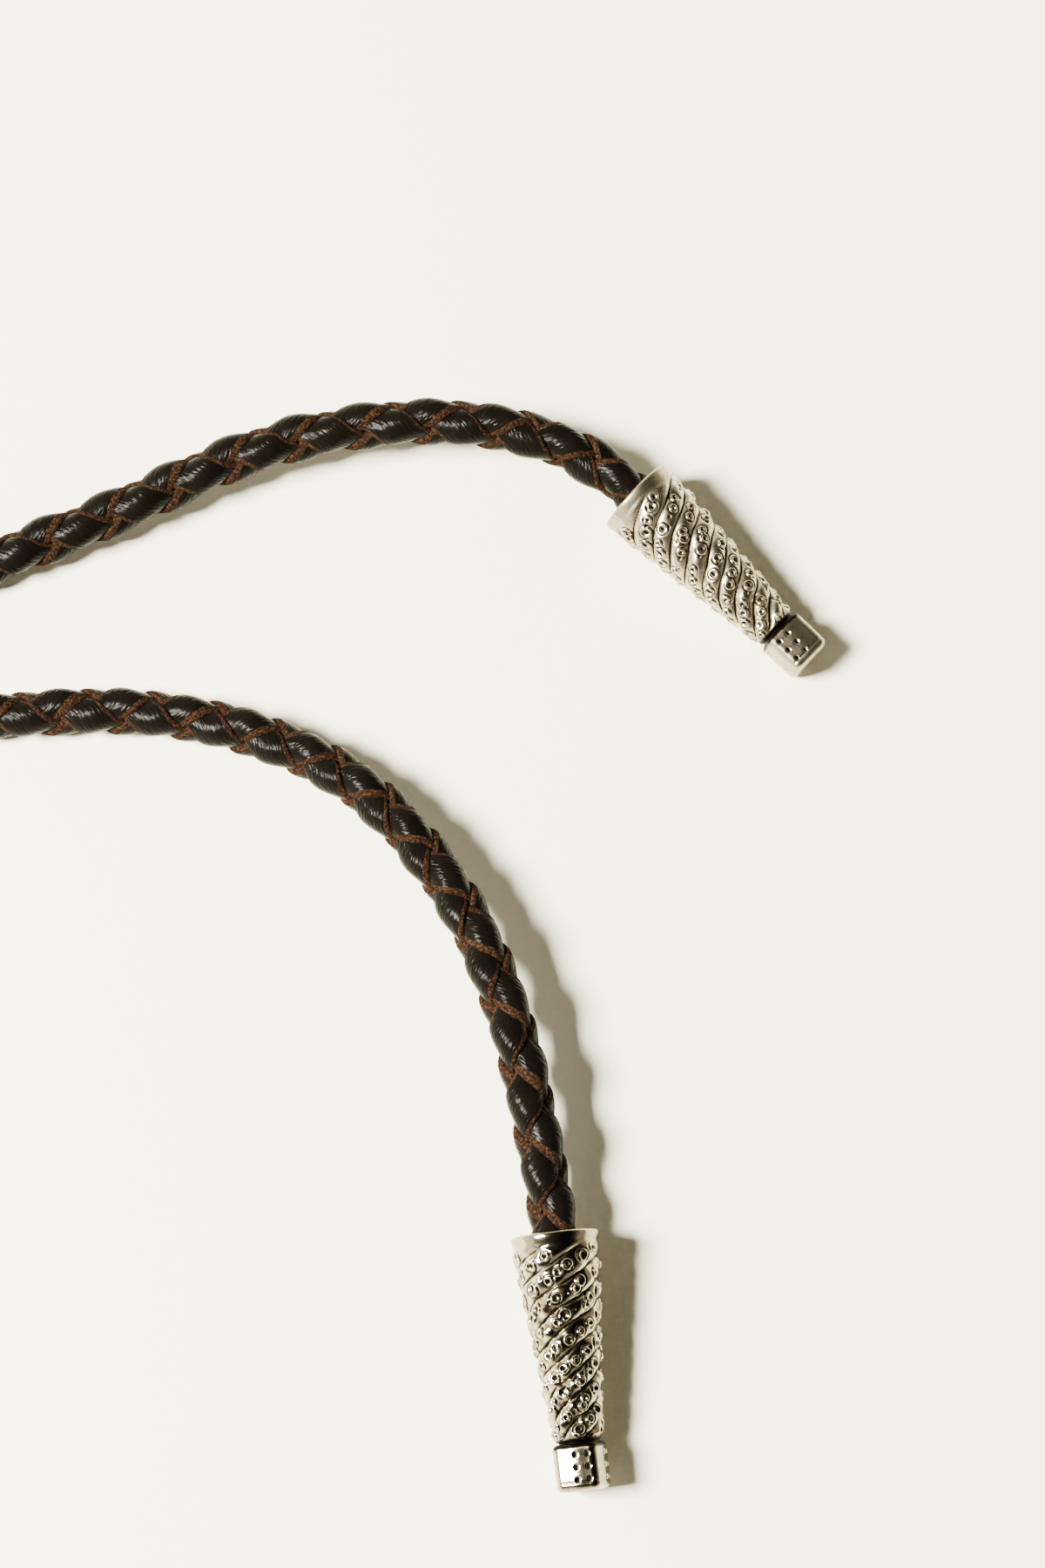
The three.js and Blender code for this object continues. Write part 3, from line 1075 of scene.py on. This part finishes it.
@dataclass
class Slide:
    """The slide: a plain domed oval with a border, on two short sleeves that grip the cord."""

    heading: float = math.radians(15)
    length: float = 42.0 * MM
    width: float = 31.0 * MM
    # The oval's lower face above the board, and how thick the oval is at its edge.
    underside: float = 8.4 * MM
    edge: float = 1.5 * MM
    border: float = 2.2 * MM
    dome_rise: float = 3.4 * MM
    block_length: float = 20.0 * MM
    block_width: float = 18.4 * MM
    channel_radius: float = 3.6 * MM
    channel_height: float = 4.7 * MM
    channel_spacing: float = 8.8 * MM
    block_rounding: float = 1.5 * MM

    def _oval(self) -> tuple[np.ndarray, np.ndarray]:
        """The oval's surface: a profile turned about Z and narrowed across, with a patina value."""
        half = self.length / 2
        top = self.underside + self.edge
        inner = half - self.border
        round_edge, step_down = 0.5 * MM, 0.35 * MM
        turn = np.linspace(0.0, math.pi / 2, 8)
        arc = np.linspace(0.0, math.pi / 2, 40)
        parts = [
            (np.linspace(1e-6, half - round_edge, 16), np.full(16, self.underside)),
            (half - round_edge * (1 - np.sin(turn)), self.underside + round_edge * (1 - np.cos(turn))),
            (half - round_edge * (1 - np.cos(turn)), top - round_edge * (1 - np.sin(turn))),
            (np.linspace(half - 0.7 * MM, inner + 0.7 * MM, 5), np.full(5, top)),
            (inner + 0.45 * MM * np.cos(turn), top - step_down * np.sin(turn)),
            (inner * np.cos(arc) ** 0.9, top - step_down + (self.dome_rise + step_down) * np.sin(arc)),
        ]
        radius = np.maximum(np.concatenate([part[0] for part in parts]), 1e-6)[:, None]
        height = np.concatenate([part[1] for part in parts])[:, None]
        angle = np.linspace(0.0, 2 * math.pi, 192, endpoint=False)[None, :]
        narrow = self.width / self.length
        points = np.stack(
            [
                radius * np.cos(angle),
                radius * np.sin(angle) * narrow,
                np.broadcast_to(height, (len(height), angle.shape[1])),
            ],
            axis=-1,
        )
        step = bell(radius - inner, 0.5 * MM) * (height > self.underside + 0.5 * MM)
        # The oval's flat underside is made darker all over, a third of the way to the full patina
        # value.
        below = np.where(height < self.underside + 0.1 * MM, 0.35, 0.0)
        patina = np.broadcast_to(np.clip(0.9 * step + below, 0, 1), points.shape[:2])
        return points, patina

    def _sleeve(self, side: int) -> tuple[np.ndarray, np.ndarray]:
        """Half of the block: a bar with a round channel, as a ring of sections that closes on
        itself: out along the bar's rounded outline, across its end and back along the channel."""
        angle = np.linspace(0.0, 2 * math.pi, 96, endpoint=False)
        middle = self.channel_spacing / 2
        outer = self.block_width / 2
        top = self.underside + 0.3 * MM
        direction = np.stack([np.cos(angle), np.sin(angle)], axis=1)
        centre = np.array([middle, self.channel_height])
        past_middle = middle + 0.15 * MM
        size = np.maximum(np.abs(direction), 1e-9)
        reach_x = np.where(direction[:, 0] > 0, outer - middle, past_middle) / size[:, 0]
        reach_z = np.where(direction[:, 1] > 0, top - centre[1], centre[1]) / size[:, 1]
        outline = centre + direction * np.minimum(reach_x, reach_z)[:, None]
        corner = np.array([outer - self.block_rounding, self.block_rounding])
        past = (outline[:, 0] > corner[0]) & (outline[:, 1] < corner[1])
        toward = outline - corner
        toward = toward / np.linalg.norm(toward, axis=1, keepdims=True)
        rounded = corner + toward * self.block_rounding
        outline = np.where(past[:, None], rounded, outline)
        bore = centre + direction * self.channel_radius
        half = self.block_length / 2
        bevel = 0.3 * MM
        inward = outline + (centre - outline) * 0.06
        flared = centre + direction * (self.channel_radius + bevel)
        rings = [
            (outline, half - bevel),
            (inward, half),
            (flared, half),
            (bore, half - bevel),
            (bore, -half + bevel),
            (flared, -half),
            (inward, -half),
            (outline, -half + bevel),
        ]
        stack = [
            np.column_stack([np.full(len(angle), place), section[:, 0] * side, section[:, 1]])
            for section, place in rings
        ]
        patina = [np.full(len(angle), value) for value in (0.1, 0.2, 0.5, 0.7, 0.7, 0.5, 0.2, 0.1)]
        return np.stack(stack), np.stack(patina)

    def build(self) -> bpy.types.Object:
        """Builds the oval and its two sleeves as one piece, turned to lie along the cord."""
        shell = Shell()
        points, patina = self._oval()
        shell.add_rings(self._turned(points), {"patina": patina})
        for side in (-1, 1):
            points, patina = self._sleeve(side)
            shell.add_rings(self._turned(points), {"patina": patina}, closed=True, flipped=side < 0)
        piece = shell.build("domed_slide")
        piece.data.set_sharp_from_angle(angle=math.radians(35))
        return piece

    def _turned(self, points: np.ndarray) -> np.ndarray:
        """The points turned about Z to the slide's heading."""
        cosine, sine = math.cos(self.heading), math.sin(self.heading)
        turn = np.array([[cosine, sine, 0.0], [-sine, cosine, 0.0], [0.0, 0.0, 1.0]])
        return points @ turn

    def dress(self, piece: bpy.types.Object, metal: bpy.types.Material) -> None:
        """Gives the slide its metal, fastens it to the body and hides the CAD slide that it replaces.
        """
        piece.data.materials.append(metal)
        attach(piece, BODY)
        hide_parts("slide")


# ---------------------------------------------------------------- the studio


@dataclass
class Studio:
    """The board that the tie lies on, the lights and the camera."""

    aim: Vector = field(default_factory=lambda: Vector((0.133, 0.0, 0.0)))
    distance: float = 0.463
    elevation: float = math.radians(76)
    lens_mm: float = 85.0
    picture_height_mm: float = 36.0
    # The window: its direction from +X towards +Y, how high and how far it is, its side, its
    # strength in watts and its colour.
    window_azimuth: float = math.radians(189)
    window_elevation: float = math.radians(49)
    window_distance: float = 1.0
    window_side: float = 0.28
    window_watts: float = 92.0
    window_colour: str = "#FFFCEA"
    # The room's soft light: its strength, and its colours from below the tie up to the ceiling.
    fill: float = 3.2
    wall: str = "#FFF1DC"
    upper_wall: str = "#5A544A"
    ceiling: str = "#1E1B18"

    def place_camera(self) -> None:
        """Stands the camera nearly overhead, on the near side of the tails."""
        data = bpy.data.cameras.new("camera")
        data.sensor_fit = "VERTICAL"
        data.sensor_height = self.picture_height_mm
        data.lens = self.lens_mm
        data.clip_start = 0.01
        camera = bpy.data.objects.new("camera", data)
        back = Vector((0.0, -math.cos(self.elevation), math.sin(self.elevation)))
        camera.location = self.aim + back * self.distance
        camera.rotation_euler = (math.pi / 2 - self.elevation, 0.0, 0.0)
        bpy.context.scene.collection.objects.link(camera)
        bpy.context.scene.camera = camera

    def lay_board(self) -> None:
        """Lays the painted board, whose edges are well outside the camera's view."""
        shell = Shell()
        reach = 1.6
        corners = np.array([[-1, -1, 0], [1, -1, 0], [1, 1, 0], [-1, 1, 0]]) * reach
        shell.add(corners + np.array(self.aim), [np.array([[0, 1, 2, 3]])])
        board = shell.build("painted_board")
        board.data.materials.append(PaintedBoard().material())

    def hang_window(self) -> None:
        """Hangs the window: one square soft light that faces the tie."""
        data = bpy.data.lights.new("window", "AREA")
        data.shape = "SQUARE"
        data.size = self.window_side
        data.energy = self.window_watts
        data.color = linear(self.window_colour)[:3]
        lamp = bpy.data.objects.new("window", data)
        turn, rise = self.window_azimuth, self.window_elevation
        flat = math.cos(rise)
        away = Vector((math.cos(turn) * flat, math.sin(turn) * flat, math.sin(rise)))
        lamp.location = self.aim + away * self.window_distance
        lamp.rotation_euler = away.to_track_quat("Z", "Y").to_euler()
        bpy.context.scene.collection.objects.link(lamp)

    def fill_room(self) -> None:
        """Fills the room with soft light: pale walls by the window, and a dark ceiling and far side."""
        world = bpy.data.worlds.new("soft_room")
        bpy.context.scene.world = world
        world.use_nodes = True
        tree = world.node_tree
        direction = add_node(tree, "TexCoord")
        axes = add_node(tree, "SeparateXYZ", inputs={0: direction.outputs["Generated"]})
        walls = add_node(
            tree,
            "ValToRGB",
            inputs={"Fac": axes.outputs["Z"]},
            stops=[
                (0.0, linear(self.wall)),
                (0.32, linear(self.wall)),
                (0.55, linear(self.upper_wall)),
                (0.72, linear(self.ceiling)),
            ],
        )
        across = add_node(
            tree, "Math", {"operation": "MULTIPLY_ADD"}, {0: axes.outputs["X"], 1: 0.5, 2: 0.5}
        )
        side = add_node(
            tree, "ValToRGB", inputs={"Fac": across.outputs[0]}, stops=[(0.35, 1.0), (0.62, 0.2)]
        )
        strength = add_node(
            tree, "Math", {"operation": "MULTIPLY"}, {0: side.outputs["Color"], 1: self.fill}
        )
        background = tree.nodes["Background"]
        tree.links.new(walls.outputs["Color"], background.inputs["Color"])
        tree.links.new(strength.outputs[0], background.inputs["Strength"])

    def build(self) -> None:
        """Builds the whole studio."""
        self.place_camera()
        self.lay_board()
        self.fill_room()
        self.hang_window()


def main() -> None:
    """Builds every piece in order and reports each one."""
    logging.basicConfig(level=logging.INFO, format="%(name)s: %(message)s")
    studio = Studio()
    studio.build()
    log.info("studio ready")

    route = Route(CORD_ROUTE)
    cord = BraidedCord(route)
    laces = cord.build()
    log.info("cord of four laces, %.1f mm long", route.length / MM)

    polished = AntiquedSilver(
        "cast_alloy_antiqued_and_polished", "#BDB39E", "#857B66", (0.08, 0.13, 0.5)
    ).material()
    brushed = AntiquedSilver(
        "cast_alloy_antiqued_and_brushed", "#C4BAA5", "#857B66", (0.20, 0.36, 0.55)
    ).material()
    upper = CastTip(
        name="ribbed_tip_upper",
        node="tip_upper",
        rim=(0.1472, 0.0362),
        heading=math.radians(-44),
        roll=math.radians(-1),
        dimple_shift=1.0 * MM,
        seed=5,
    )
    lower = CastTip(
        name="ribbed_tip_lower",
        node="tip_lower",
        rim=(0.1368, -0.0569),
        heading=math.radians(-83.3),
        roll=math.radians(18),
        dimple_shift=-1.0 * MM,
        seed=8,
    )
    tips = []
    for tip, metal in ((upper, brushed), (lower, polished)):
        piece = tip.build()
        tip.dress(piece, metal)
        tips.append(piece)
        log.info("%s, %.1f mm long", tip.name, tip.length / MM)

    cord.dress(laces, tips)
    slide = Slide()
    slide.dress(slide.build(), brushed)
    log.info("slide, %.0f by %.0f mm", slide.length / MM, slide.width / MM)


if __name__ == "__main__":
    main()
